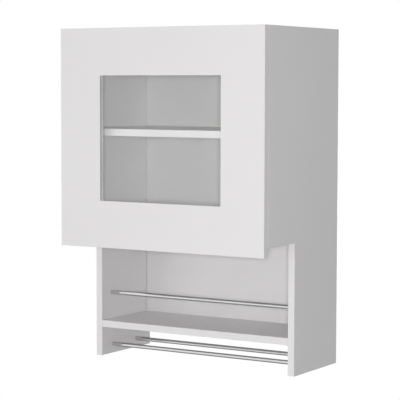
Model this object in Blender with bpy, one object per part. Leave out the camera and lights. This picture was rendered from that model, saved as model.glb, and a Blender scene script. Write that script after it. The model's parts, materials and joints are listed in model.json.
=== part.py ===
# Wall cabinet: a glazed compartment above an open niche, with a guard rod and two hanging rods.
# All sizes are in metres. X runs from left to right, Y from the room towards the wall, Z upwards.
# The wall plane is y = 0, so depths count forward from it and become negative y.
# Heights count from the bottom edge of the side panels, and the origin empty shifts them so that
# the world origin lies in the middle of the hanging rail's rear face.

import math

import bmesh
import bpy
from mathutils import Vector

# Carcass
WIDTH = 0.500
HEIGHT = 0.720
DEPTH = 0.320
LOWER_DEPTH = 0.192
BOARD = 0.015
COMPARTMENT_BOTTOM = 0.277
LOWER_SHELF_BOTTOM = 0.064
SHELF_OFFSET = 0.002
SHELF_SETBACK = 0.015
SHELF_PLAY = 0.0005
BACK_THICKNESS = 0.003
BACK_RECESS = 0.012
GROOVE_DEPTH = 0.006
GROOVE_PLAY = 0.0009
RAIL_HEIGHT = 0.070
RAIL_SCREW_SPACING = 0.400
RAIL_SCREW_HOLE = 0.006

# Door
DOOR_THICKNESS = 0.015
DOOR_GAP = 0.002
DOOR_OVERHANG = 0.020
FRAME_SIDE_WIDTH = 0.1015
FRAME_CROSS_WIDTH = 0.0995
REBATE_WIDTH = 0.008
REBATE_DEPTH = 0.008
GLASS_THICKNESS = 0.004
BUMPER_DIAMETER = 0.008
BUMPER_INSET = 0.040

# Rods, set back from the front edge of the lower part
ROD_DIAMETER = 0.009
ROD_WALL = 0.001
ROD_SOCKET = 0.008
GUARD_ROD_HEIGHT = 0.138
GUARD_ROD_INSET = 0.037
HANGING_ROD_HEIGHT = 0.020
FRONT_ROD_INSET = 0.043
REAR_ROD_INSET = 0.135

# Shelf pins
PIN_DIAMETER = 0.005
PIN_SOCKET = 0.010
PIN_REACH = 0.008
PIN_FRONT_INSET = 0.060
PIN_REAR_INSET = 0.050

# Cam fittings between the boards
CAM_DIAMETER = 0.015
CAM_FLOOR = 0.003
CAM_DISTANCE = 0.024
CAM_FRONT_INSET = 0.040
CAM_REAR_INSET = 0.050
BOLT_DIAMETER = 0.006
BOLT_NECK_DIAMETER = 0.004
BOLT_NECK_LENGTH = 0.003
BOLT_HEAD_LENGTH = 0.003
BOLT_THREAD_DIAMETER = 0.005
BOLT_THREAD_LENGTH = 0.011

# Concealed hinges on the left side
HINGE_INSET = 0.095
CUP_EDGE = 0.003
CUP_DIAMETER = 0.035
CUP_DEPTH = 0.012
CUP_WALL = 0.0008
CUP_FLANGE_WIDTH = 0.0022
CUP_FLANGE_THICKNESS = 0.0008
LINK_THICKNESS = 0.003
LINK_HEIGHT = 0.0054
LINK_SPACING = 0.0008
EYE_DIAMETER = 0.0048
CUP_PIN_DIAMETER = 0.002
ARM_PIN_DIAMETER = 0.0025
SLIDE_PIN_DIAMETER = 0.002
ARM_WALL = 0.0015
ARM_LIFT = 0.003
ARM_LENGTH = 0.070
PLATE_WING_THICKNESS = 0.002
PLATE_WING_WIDTH = 0.016
PLATE_WING_SPAN = 0.048
PLATE_SETBACK = 0.037
PLATE_LENGTH = 0.040
PLATE_TOP = 0.0232

# Gap between pieces that touch
CLEARANCE = 0.0003

# Facets on round pieces
FINE_SIDES = 24
ROD_SIDES = 16
SMALL_SIDES = 12

# Places that follow from the sizes
UPPER_DEPTH = DEPTH - DOOR_THICKNESS - DOOR_GAP
LEFT = -WIDTH / 2
RIGHT = WIDTH / 2
INNER_LEFT = LEFT + BOARD
INNER_RIGHT = RIGHT - BOARD
TOP_UNDERSIDE = HEIGHT - BOARD
FLOOR_TOP = COMPARTMENT_BOTTOM + BOARD
LOWER_SHELF_TOP = LOWER_SHELF_BOTTOM + BOARD
BACK_FRONT = -BACK_RECESS - BACK_THICKNESS
SHELF_MIDDLE = (FLOOR_TOP + TOP_UNDERSIDE) / 2 + SHELF_OFFSET
SHELF_BOTTOM = SHELF_MIDDLE - BOARD / 2
RAIL_TOP = TOP_UNDERSIDE - CLEARANCE
RAIL_MIDDLE = RAIL_TOP - RAIL_HEIGHT / 2
DOOR_BOTTOM = COMPARTMENT_BOTTOM - DOOR_OVERHANG
DOOR_BACK = -(DEPTH - DOOR_THICKNESS)
DOOR_FRONT = -DEPTH
WINDOW_LEFT = LEFT + FRAME_SIDE_WIDTH
WINDOW_RIGHT = RIGHT - FRAME_SIDE_WIDTH
WINDOW_BOTTOM = DOOR_BOTTOM + FRAME_CROSS_WIDTH
WINDOW_TOP = HEIGHT - FRAME_CROSS_WIDTH
HINGE_HEIGHTS = {"lower": DOOR_BOTTOM + HINGE_INSET, "upper": HEIGHT - HINGE_INSET}

# Hinge points in plan: distance from the door's left edge, distance forward of the door's back face.
# PLATE_TOP counts from the same edge, so the plate fills the space between the panel and the arm.
# The outer link turns on the arm pin and carries the door at the outer cup pin. The inner link
# turns on the inner cup pin, and its slide pin runs in a slot of the arm.
ARM_PIN = (0.0288, -0.0173)
OUTER_CUP_PIN = (0.0086, 0.00375)
OUTER_ELBOW = (0.0170, 0.0080)
INNER_CUP_PIN = (0.0125, 0.0082)
INNER_ELBOW = (0.0260, 0.0080)
SLIDE_PIN = (0.0357, -0.0119)
SLOT_MIDDLE = (0.03515, -0.0105)
SLOT_LENGTH = 0.0032
SLOT_SIDE_PLAY = 0.0006
CUP_MIDDLE = CUP_EDGE + CUP_DIAMETER / 2

FINISHES = {
    "laminate": {"colour": (0.80, 0.80, 0.79), "roughness": 0.45, "metallic": 0.0},
    "hardboard": {"colour": (0.76, 0.76, 0.75), "roughness": 0.55, "metallic": 0.0},
    "glass": {"colour": (0.90, 0.95, 0.94), "roughness": 0.03, "metallic": 0.0},
    "chrome": {"colour": (0.72, 0.72, 0.73), "roughness": 0.12, "metallic": 1.0},
    "nickel": {"colour": (0.62, 0.61, 0.59), "roughness": 0.28, "metallic": 1.0},
    "zinc": {"colour": (0.55, 0.55, 0.56), "roughness": 0.40, "metallic": 1.0},
    "soft": {"colour": (0.82, 0.82, 0.80), "roughness": 0.60, "metallic": 0.0},
}


def clear_scene():
    for obj in list(bpy.data.objects):
        bpy.data.objects.remove(obj, do_unlink=True)


def make_material(name, finish):
    values = FINISHES[finish]
    material = bpy.data.materials.new(name + "_finish")
    material.use_nodes = True
    shader = material.node_tree.nodes["Principled BSDF"]
    shader.inputs["Base Color"].default_value = (*values["colour"], 1.0)
    shader.inputs["Roughness"].default_value = values["roughness"]
    shader.inputs["Metallic"].default_value = values["metallic"]
    if finish == "glass":
        shader.inputs["Transmission Weight"].default_value = 1.0
    return material


# Shapes. An order such as "yzx" means that an outline lies along Y and Z and is drawn out along X.

def spatial(order, across, along, out):
    values = dict(zip(order, (across, along, out)))
    return Vector((values["x"], values["y"], values["z"]))


def circle(radius, sides, middle=(0.0, 0.0)):
    turns = [2 * math.pi * k / sides for k in range(sides)]
    return [(middle[0] + radius * math.cos(t), middle[1] + radius * math.sin(t)) for t in turns]


def arc(middle, radius, start, end, steps):
    turns = [start + (end - start) * k / steps for k in range(steps + 1)]
    return [(middle[0] + radius * math.cos(t), middle[1] + radius * math.sin(t)) for t in turns]


def add_prism(bm, outline, low, high, order="xyz"):
    lower = [bm.verts.new(spatial(order, a, b, low)) for a, b in outline]
    upper = [bm.verts.new(spatial(order, a, b, high)) for a, b in outline]
    bm.faces.new(lower)
    bm.faces.new(upper)
    for k in range(len(outline)):
        bm.faces.new((lower[k - 1], lower[k], upper[k], upper[k - 1]))


def add_box(bm, x_range, y_range, z_range):
    (x0, x1), (y0, y1), (z0, z1) = x_range, y_range, z_range
    add_prism(bm, [(x0, y0), (x1, y0), (x1, y1), (x0, y1)], z0, z1)


def add_cylinder(bm, middle, diameter, low, high, order, sides=SMALL_SIDES):
    add_prism(bm, circle(diameter / 2, sides, middle), low, high, order)


def add_turned(bm, profile, middle, order, sides, closed=False):
    rings = []
    for radius, out in profile:
        if radius == 0.0:
            rings.append([bm.verts.new(spatial(order, middle[0], middle[1], out))] * sides)
        else:
            ring = circle(radius, sides, middle)
            rings.append([bm.verts.new(spatial(order, a, b, out)) for a, b in ring])
    pairs = list(zip(rings, rings[1:]))
    if closed:
        pairs.append((rings[-1], rings[0]))
    for lower, upper in pairs:
        for k in range(sides):
            corners = [lower[k - 1], lower[k], upper[k], upper[k - 1]]
            bm.faces.new(list(dict.fromkeys(corners)))


def absolute_location(obj):
    place = Vector((0.0, 0.0, 0.0))
    while obj is not None and obj.parent is not None:
        place += obj.location
        obj = obj.parent
    return place


def add_empty(name, parent, place):
    empty = bpy.data.objects.new(name, None)
    bpy.context.scene.collection.objects.link(empty)
    empty.parent = parent
    empty.location = place - absolute_location(parent) if parent else place
    return empty


def link_object(name, bm, parent, place):
    bmesh.ops.recalc_face_normals(bm, faces=bm.faces)
    if place is None:
        corners = [v.co for v in bm.verts]
        low = Vector([min(c[k] for c in corners) for k in range(3)])
        high = Vector([max(c[k] for c in corners) for k in range(3)])
        place = (low + high) / 2
    bmesh.ops.translate(bm, verts=bm.verts, vec=-place)
    mesh = bpy.data.meshes.new(name)
    bm.to_mesh(mesh)
    bm.free()
    obj = bpy.data.objects.new(name, mesh)
    bpy.context.scene.collection.objects.link(obj)
    obj.parent = parent
    obj.location = place - absolute_location(parent)
    return obj


def add_piece(name, bm, finish, parent, place=None, smooth=False):
    obj = link_object(name, bm, parent, place)
    obj.data.materials.append(make_material(name, finish))
    if smooth:
        obj.data.shade_smooth()
        obj.data.set_sharp_from_angle(angle=math.radians(35))
    return obj


def combine(target, bm, operation="DIFFERENCE"):
    tool = link_object(f"{target.name}_tool_{len(target.modifiers)}", bm, target.parent, None)
    tool.hide_render = True
    tool.display_type = "WIRE"
    modifier = target.modifiers.new(tool.name, "BOOLEAN")
    modifier.operation = operation
    modifier.solver = "EXACT"
    modifier.object = tool


# Rods and pins as seats: (name, y, z) of everything that plugs into both side panels

def rod_seats():
    front = -LOWER_DEPTH
    return [
        ("guard_rod", front + GUARD_ROD_INSET, GUARD_ROD_HEIGHT),
        ("front_hanging_rod", front + FRONT_ROD_INSET, HANGING_ROD_HEIGHT),
        ("rear_hanging_rod", front + REAR_ROD_INSET, HANGING_ROD_HEIGHT),
    ]


def pin_seats():
    z = SHELF_BOTTOM - CLEARANCE - PIN_DIAMETER / 2
    return [
        ("front", -UPPER_DEPTH + PIN_FRONT_INSET, z),
        ("rear", BACK_FRONT - PIN_REAR_INSET, z),
    ]


# Boards that are held by cam fittings: name, underside, front, and the face that the cams open to

def cammed_boards():
    return [
        ("top_panel", TOP_UNDERSIDE, -UPPER_DEPTH, "above"),
        ("cabinet_floor", COMPARTMENT_BOTTOM, -UPPER_DEPTH, "below"),
        ("lower_shelf", LOWER_SHELF_BOTTOM, -LOWER_DEPTH, "below"),
    ]


def cam_depths(front):
    return {"front": front + CAM_FRONT_INSET, "rear": -CAM_REAR_INSET}


def side_outline():
    return [
        (0.0, 0.0),
        (-LOWER_DEPTH, 0.0),
        (-LOWER_DEPTH, COMPARTMENT_BOTTOM),
        (-UPPER_DEPTH, COMPARTMENT_BOTTOM),
        (-UPPER_DEPTH, HEIGHT),
        (0.0, HEIGHT),
    ]


def add_side_panel(side, parent):
    inward = 1 if side == "left" else -1
    outer = LEFT if side == "left" else RIGHT
    inner = outer + inward * BOARD
    bm = bmesh.new()
    add_prism(bm, side_outline(), outer, inner, "yzx")
    panel = add_piece(f"{side}_side_panel", bm, "laminate", parent)

    # The blind holes and the groove start inside the room between the panels, so the cut is clean
    start = inner + inward * BOARD
    bm = bmesh.new()
    for _, y, z in rod_seats():
        end = inner - inward * (ROD_SOCKET + CLEARANCE)
        add_cylinder(bm, (y, z), ROD_DIAMETER + 2 * CLEARANCE, start, end, "yzx", ROD_SIDES)
    for _, y, z in pin_seats():
        end = inner - inward * (PIN_SOCKET + CLEARANCE)
        add_cylinder(bm, (y, z), PIN_DIAMETER + 2 * CLEARANCE, start, end, "yzx")
    for _, underside, front, _ in cammed_boards():
        for y in cam_depths(front).values():
            end = inner - inward * (BOLT_THREAD_LENGTH + CLEARANCE)
            add_cylinder(bm, (y, underside + BOARD / 2), BOLT_THREAD_DIAMETER + 2 * CLEARANCE,
                         start, end, "yzx")
    low, high = back_heights()
    add_box(bm, sorted((start, inner - inward * GROOVE_DEPTH)), groove_depths(),
            (low - CLEARANCE, high + CLEARANCE))
    combine(panel, bm)


def groove_depths():
    # The back panel lies against the rear wall of its groove, which leaves the play in front of it
    return (BACK_FRONT - GROOVE_PLAY, -BACK_RECESS + CLEARANCE)


def back_heights():
    reach = GROOVE_DEPTH - CLEARANCE
    return (LOWER_SHELF_TOP - reach, TOP_UNDERSIDE + reach)


def cross_range(play=CLEARANCE):
    return (INNER_LEFT + play, INNER_RIGHT - play)


def add_cammed_board(name, underside, front, back, cam_face, groove, parent):
    bm = bmesh.new()
    add_box(bm, cross_range(), (front, back), (underside, underside + BOARD))
    board = add_piece(name, bm, "laminate", parent)
    if cam_face == "above":
        pocket = (underside + CAM_FLOOR, underside + 2 * BOARD)
    else:
        pocket = (underside - BOARD, underside + BOARD - CAM_FLOOR)
    pockets = bmesh.new()
    bores = bmesh.new()
    for y in cam_depths(front).values():
        for side in (-1, 1):
            end = side * (WIDTH / 2 - BOARD)
            middle = end - side * CAM_DISTANCE
            add_cylinder(pockets, (middle, y), CAM_DIAMETER + 2 * CLEARANCE, *pocket, "xyz", ROD_SIDES)
            add_cylinder(bores, (y, underside + BOARD / 2), BOLT_DIAMETER + 2 * CLEARANCE,
                         end + side * BOARD, middle, "yzx")
    if groove:
        reach = GROOVE_DEPTH
        heights = {"top": (underside + BOARD - reach, underside + 2 * BOARD),
                   "underside": (underside - BOARD, underside + reach)}[groove]
        add_box(bores, (LEFT, RIGHT), groove_depths(), heights)
    combine(board, pockets)
    combine(board, bores)


def add_boards(parent):
    grooves = {"top_panel": "underside", "lower_shelf": "top", "cabinet_floor": None}
    for name, underside, front, cam_face in cammed_boards():
        back = BACK_FRONT - CLEARANCE if name == "cabinet_floor" else 0.0
        add_cammed_board(name, underside, front, back, cam_face, grooves[name], parent)

    bm = bmesh.new()
    add_box(bm, cross_range(SHELF_PLAY), (-UPPER_DEPTH + SHELF_SETBACK, BACK_FRONT - CLEARANCE),
            (SHELF_BOTTOM, SHELF_BOTTOM + BOARD))
    add_piece("inner_shelf", bm, "laminate", parent)

    reach = GROOVE_DEPTH - CLEARANCE
    bm = bmesh.new()
    add_box(bm, (INNER_LEFT - reach, INNER_RIGHT + reach), (BACK_FRONT, -BACK_RECESS), back_heights())
    back_panel = add_piece("back_panel", bm, "hardboard", parent)
    combine(back_panel, rail_screw_holes())

    bm = bmesh.new()
    add_box(bm, cross_range(), (-BACK_RECESS + CLEARANCE, 0.0), (RAIL_TOP - RAIL_HEIGHT, RAIL_TOP))
    rail = add_piece("hanging_rail", bm, "laminate", parent)
    combine(rail, rail_screw_holes())


def rail_screw_holes():
    bm = bmesh.new()
    for side in (-1, 1):
        middle = (side * RAIL_SCREW_SPACING / 2, RAIL_MIDDLE)
        add_cylinder(bm, middle, RAIL_SCREW_HOLE, -2 * (BACK_RECESS + BACK_THICKNESS), BACK_RECESS, "xzy")
    return bm


def add_rods(parent):
    outer = ROD_DIAMETER / 2
    inner = outer - ROD_WALL
    low, high = INNER_LEFT - ROD_SOCKET, INNER_RIGHT + ROD_SOCKET
    for name, y, z in rod_seats():
        bm = bmesh.new()
        profile = [(outer, low), (outer, high), (inner, high), (inner, low)]
        add_turned(bm, profile, (y, z), "yzx", ROD_SIDES, closed=True)
        add_piece(name, bm, "chrome", parent, smooth=True)


def add_shelf_pins(parent):
    for side, inner, inward in (("left", INNER_LEFT, 1), ("right", INNER_RIGHT, -1)):
        for place, y, z in pin_seats():
            bm = bmesh.new()
            add_cylinder(bm, (y, z), PIN_DIAMETER, inner - inward * PIN_SOCKET,
                         inner + inward * PIN_REACH, "yzx")
            add_piece(f"shelf_pin_{place}_{side}", bm, "nickel", parent, smooth=True)


def cam_outline(middle, side):
    # A round cam with a notch towards the board's end, wide enough for the bolt's head
    radius = CAM_DIAMETER / 2
    half = BOLT_DIAMETER / 2 + CLEARANCE
    opening = math.asin(half / radius)
    rim = arc((0.0, 0.0), radius, opening, 2 * math.pi - opening, ROD_SIDES - 2)
    notch = BOLT_HEAD_LENGTH / 2 + CLEARANCE
    outline = rim + [(-notch, -half), (-notch, half)]
    return [(middle[0] + side * a, middle[1] + b) for a, b in outline]


def add_cam_fittings(parent):
    for board, underside, front, cam_face in cammed_boards():
        height = underside + BOARD / 2
        seat = underside + CAM_FLOOR + CLEARANCE
        levels = (seat, underside + BOARD)
        if cam_face == "below":
            levels = (underside, underside + BOARD - CAM_FLOOR - CLEARANCE)
        for place, y in cam_depths(front).items():
            for side_name, side in (("left", -1), ("right", 1)):
                end = side * (WIDTH / 2 - BOARD)
                middle = end - side * CAM_DISTANCE
                bm = bmesh.new()
                add_prism(bm, cam_outline((middle, y), side), *levels)
                add_piece(f"cam_lock_{board}_{place}_{side_name}", bm, "zinc", parent, smooth=True)

                head = middle - side * BOLT_HEAD_LENGTH / 2
                neck = head + side * BOLT_HEAD_LENGTH
                shank = neck + side * BOLT_NECK_LENGTH
                tip = end + side * BOLT_THREAD_LENGTH
                profile = [
                    (0.0, head),
                    (BOLT_DIAMETER / 2, head),
                    (BOLT_DIAMETER / 2, neck),
                    (BOLT_NECK_DIAMETER / 2, neck),
                    (BOLT_NECK_DIAMETER / 2, shank),
                    (BOLT_DIAMETER / 2, shank),
                    (BOLT_DIAMETER / 2, end),
                    (BOLT_THREAD_DIAMETER / 2, end),
                    (BOLT_THREAD_DIAMETER / 2, tip),
                    (0.0, tip),
                ]
                bm = bmesh.new()
                add_turned(bm, profile, (y, height), "yzx", SMALL_SIDES)
                add_piece(f"cam_bolt_{board}_{place}_{side_name}", bm, "zinc", parent, smooth=True)


def add_bumpers(parent):
    middle_x = RIGHT - BOARD / 2
    for place, z in (("lower", COMPARTMENT_BOTTOM + BUMPER_INSET), ("upper", HEIGHT - BUMPER_INSET)):
        bm = bmesh.new()
        add_cylinder(bm, (middle_x, z), BUMPER_DIAMETER, DOOR_BACK + CLEARANCE, -UPPER_DEPTH - CLEARANCE,
                     "xzy")
        add_piece(f"door_bumper_{place}", bm, "soft", parent, smooth=True)


# Door

def add_door(parent):
    bm = bmesh.new()
    add_box(bm, (LEFT, RIGHT), (DOOR_FRONT, DOOR_BACK), (DOOR_BOTTOM, HEIGHT))
    frame = add_piece("door_frame", bm, "laminate", parent)

    window = bmesh.new()
    add_box(window, (WINDOW_LEFT, WINDOW_RIGHT), (DOOR_FRONT - DOOR_THICKNESS, DOOR_BACK + DOOR_THICKNESS),
            (WINDOW_BOTTOM, WINDOW_TOP))
    combine(frame, window)

    recesses = bmesh.new()
    add_box(recesses, (WINDOW_LEFT - REBATE_WIDTH, WINDOW_RIGHT + REBATE_WIDTH),
            (DOOR_BACK - REBATE_DEPTH, DOOR_BACK + DOOR_THICKNESS),
            (WINDOW_BOTTOM - REBATE_WIDTH, WINDOW_TOP + REBATE_WIDTH))
    for z in HINGE_HEIGHTS.values():
        add_cylinder(recesses, (LEFT + CUP_MIDDLE, z), CUP_DIAMETER, DOOR_BACK - CUP_DEPTH,
                     DOOR_BACK + DOOR_THICKNESS, "xzy", FINE_SIDES)
    combine(frame, recesses)

    seat = REBATE_WIDTH - CLEARANCE
    left, right = WINDOW_LEFT - seat, WINDOW_RIGHT + seat
    bottom, top = WINDOW_BOTTOM - seat, WINDOW_TOP + seat
    glass_front = DOOR_BACK - REBATE_DEPTH + CLEARANCE
    glass_back = glass_front + GLASS_THICKNESS
    bm = bmesh.new()
    add_box(bm, (left, right), (glass_front, glass_back), (bottom, top))
    add_piece("glass_pane", bm, "glass", parent)

    beads = {
        "bottom": ((left, right), (bottom, WINDOW_BOTTOM)),
        "top": ((left, right), (WINDOW_TOP, top)),
        "left": ((left, WINDOW_LEFT), (WINDOW_BOTTOM + CLEARANCE, WINDOW_TOP - CLEARANCE)),
        "right": ((WINDOW_RIGHT, right), (WINDOW_BOTTOM + CLEARANCE, WINDOW_TOP - CLEARANCE)),
    }
    for name, (x_range, z_range) in beads.items():
        bm = bmesh.new()
        add_box(bm, x_range, (glass_back + CLEARANCE, DOOR_BACK), z_range)
        add_piece(f"glass_bead_{name}", bm, "laminate", parent)


# Hinges

def plan(point):
    return (LEFT + point[0], DOOR_BACK - point[1])


def pivot_place(point, height):
    x, y = plan(point)
    return Vector((x, y, height))


def layer(name, height):
    # The two links lie side by side in height, the inner one above the outer one
    low = LINK_SPACING / 2
    high = low + LINK_HEIGHT
    return (height + low, height + high) if name == "inner" else (height - high, height - low)


def arm_heights(height):
    half = LINK_SPACING / 2 + LINK_HEIGHT + LINK_SPACING / 2
    return (height - half, height + half)


def link_outline(start, elbow, end):
    # A strip bent once at the elbow, with a round eye at each end
    half = LINK_THICKNESS / 2
    eye = EYE_DIAMETER / 2
    lean = math.asin(half / eye)
    first = math.atan2(elbow[1] - start[1], elbow[0] - start[0])
    second = math.atan2(end[1] - elbow[1], end[0] - elbow[0])
    bend = math.atan2(math.sin(second - first), math.cos(second - first))
    mitre = half / math.cos(bend / 2)
    normal = first + bend / 2 + math.pi / 2
    offset = (mitre * math.cos(normal), mitre * math.sin(normal))
    points = arc(start, eye, first + lean, first + 2 * math.pi - lean, SMALL_SIDES)
    points.append((elbow[0] - offset[0], elbow[1] - offset[1]))
    points += arc(end, eye, second + math.pi + lean, second + 3 * math.pi - lean, SMALL_SIDES)
    points.append((elbow[0] + offset[0], elbow[1] + offset[1]))
    return points


def add_outer_link(place, height, parent):
    low, high = layer("outer", height)
    bm = bmesh.new()
    add_prism(bm, link_outline(plan(ARM_PIN), plan(OUTER_ELBOW), plan(OUTER_CUP_PIN)), low, high)
    link = add_piece(f"{place}_hinge_outer_link", bm, "nickel", parent,
                     pivot_place(ARM_PIN, height), smooth=True)
    holes = bmesh.new()
    for pin, diameter in ((ARM_PIN, ARM_PIN_DIAMETER), (OUTER_CUP_PIN, CUP_PIN_DIAMETER)):
        add_cylinder(holes, plan(pin), diameter + 2 * CLEARANCE, low - LINK_HEIGHT, high + LINK_HEIGHT, "xyz")
    combine(link, holes)


def add_inner_link(place, height, parent):
    low, high = layer("inner", height)
    bm = bmesh.new()
    add_prism(bm, link_outline(plan(SLIDE_PIN), plan(INNER_ELBOW), plan(INNER_CUP_PIN)), low, high)
    link = add_piece(f"{place}_hinge_inner_link", bm, "nickel", parent,
                     pivot_place(INNER_CUP_PIN, height), smooth=True)
    holes = bmesh.new()
    add_cylinder(holes, plan(INNER_CUP_PIN), CUP_PIN_DIAMETER + 2 * CLEARANCE,
                 low - LINK_HEIGHT, high + LINK_HEIGHT, "xyz")
    combine(link, holes)
    arm_low, arm_high = arm_heights(height)
    pin = bmesh.new()
    add_cylinder(pin, plan(SLIDE_PIN), SLIDE_PIN_DIAMETER, arm_low - ARM_WALL, arm_high + ARM_WALL, "xyz")
    combine(link, pin, "UNION")


def add_cup(place, height, parent):
    outer = CUP_DIAMETER / 2 - CLEARANCE
    inner = outer - CUP_WALL
    rim = outer + CUP_FLANGE_WIDTH
    flange_low = DOOR_BACK + CLEARANCE
    flange_high = flange_low + CUP_FLANGE_THICKNESS
    floor = DOOR_BACK - CUP_DEPTH + CLEARANCE
    profile = [
        (0.0, floor),
        (outer, floor),
        (outer, flange_low),
        (rim, flange_low),
        (rim, flange_high),
        (inner, flange_high),
        (inner, floor + CUP_WALL),
        (0.0, floor + CUP_WALL),
    ]
    bm = bmesh.new()
    add_turned(bm, profile, (LEFT + CUP_MIDDLE, height), "xzy", FINE_SIDES)
    cup = add_piece(f"{place}_hinge_cup", bm, "nickel", parent, smooth=True)

    # Each cup pin is a stub that reaches from the cup's wall through its own link only
    pins = bmesh.new()
    for name, point, side in (("outer", OUTER_CUP_PIN, -1), ("inner", INNER_CUP_PIN, 1)):
        across = point[0] - CUP_MIDDLE
        chord = math.sqrt((outer - CUP_WALL / 2) ** 2 - across ** 2)
        ends = sorted((height + side * CLEARANCE, height + side * chord))
        add_cylinder(pins, plan(point), CUP_PIN_DIAMETER, *ends, "xyz")
    combine(cup, pins, "UNION")


def arm_outline():
    # Side view of the arm in plan, from the tail over the plate to the nose with the pivots
    base = BOARD + ARM_LIFT
    saddle = PLATE_TOP + CLEARANCE + ARM_WALL
    tail = ARM_PIN[1] - ARM_LENGTH
    nose = SLOT_MIDDLE[1] + SLOT_LENGTH / 2 + slot_radius() + ARM_WALL
    brow = SLOT_MIDDLE[0] + slot_radius() + ARM_WALL
    pin_edge = ARM_PIN_DIAMETER / 2 + ARM_WALL
    heel = ARM_PIN[1] - 2 * pin_edge
    points = [
        (base, tail),
        (saddle, tail),
        (saddle, heel - PLATE_LENGTH / 2),
        (ARM_PIN[0] + 2 * pin_edge, heel),
        (brow, SLOT_MIDDLE[1] - SLOT_LENGTH / 2),
        (brow, nose - slot_radius()),
        (brow - slot_radius() / 2, nose),
        (SLOT_MIDDLE[0] - slot_radius() / 2, nose),
        (ARM_PIN[0] - pin_edge, ARM_PIN[1] + pin_edge),
        (ARM_PIN[0] - 2 * pin_edge, heel),
        (base, heel - PLATE_LENGTH / 4),
    ]
    return [plan(point) for point in points]


def slot_radius():
    return SLIDE_PIN_DIAMETER / 2 + CLEARANCE + SLOT_SIDE_PLAY


def add_arm(place, height, parent):
    low, high = arm_heights(height)
    bm = bmesh.new()
    add_prism(bm, arm_outline(), low - ARM_WALL, high + ARM_WALL)
    arm = add_piece(f"{place}_hinge_arm", bm, "nickel", parent, smooth=True)

    # The channel is open towards the panel at the tail, and open all round at the nose
    heel = ARM_PIN[1] - ARM_PIN_DIAMETER - 2 * ARM_WALL
    tail = ARM_PIN[1] - ARM_LENGTH - ARM_WALL
    web = PLATE_TOP + CLEARANCE
    rise = ARM_PIN[0] + ARM_PIN_DIAMETER / 2
    channel = [
        (BOARD, tail),
        (web, tail),
        (web, heel - PLATE_LENGTH / 2),
        (rise, heel),
        (2 * CUP_DIAMETER, heel),
        (2 * CUP_DIAMETER, 0.0),
        (BOARD, 0.0),
    ]
    cut = bmesh.new()
    add_prism(cut, [plan(point) for point in channel], low, high)
    combine(arm, cut)

    slot = bmesh.new()
    radius = slot_radius()
    x, y = plan(SLOT_MIDDLE)
    half = SLOT_LENGTH / 2
    outline = arc((x, y + half), radius, 0.0, math.pi, SMALL_SIDES // 2)
    outline += arc((x, y - half), radius, math.pi, 2 * math.pi, SMALL_SIDES // 2)
    add_prism(slot, outline, low - 2 * ARM_WALL, high + 2 * ARM_WALL)
    combine(arm, slot)

    pin = bmesh.new()
    add_cylinder(pin, plan(ARM_PIN), ARM_PIN_DIAMETER, low - ARM_WALL / 2, high + ARM_WALL / 2, "xyz")
    combine(arm, pin, "UNION")


def add_plate(place, height, parent):
    low, high = arm_heights(height)
    base = LEFT + BOARD + CLEARANCE
    top = LEFT + PLATE_TOP
    middle = -UPPER_DEPTH + PLATE_SETBACK
    bm = bmesh.new()
    add_box(bm, (base, top), (middle - PLATE_LENGTH / 4, middle + 3 * PLATE_LENGTH / 4),
            (low + CLEARANCE, high - CLEARANCE))
    plate = add_piece(f"{place}_hinge_plate", bm, "nickel", parent)
    wings = bmesh.new()
    add_box(wings, (base, base + PLATE_WING_THICKNESS),
            (middle - PLATE_WING_WIDTH / 2, middle + PLATE_WING_WIDTH / 2),
            (height - PLATE_WING_SPAN / 2, height + PLATE_WING_SPAN / 2))
    combine(plate, wings, "UNION")


def build():
    clear_scene()
    origin = add_empty("cabinet_origin", None, Vector((0.0, 0.0, -RAIL_MIDDLE)))
    middle_height = sum(HINGE_HEIGHTS.values()) / 2
    outer_axis = add_empty("outer_link_axis", origin, pivot_place(ARM_PIN, middle_height))
    door_axis = add_empty("door_axis", outer_axis, pivot_place(OUTER_CUP_PIN, middle_height))
    inner_axis = add_empty("inner_link_axis", door_axis, pivot_place(INNER_CUP_PIN, middle_height))

    add_side_panel("left", origin)
    add_side_panel("right", origin)
    add_boards(origin)
    add_rods(origin)
    add_shelf_pins(origin)
    add_cam_fittings(origin)
    add_bumpers(origin)
    add_door(door_axis)
    for place, height in HINGE_HEIGHTS.items():
        add_plate(place, height, origin)
        add_arm(place, height, origin)
        add_outer_link(place, height, outer_axis)
        add_cup(place, height, door_axis)
        add_inner_link(place, height, inner_axis)


build()
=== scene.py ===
import json
import math

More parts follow.
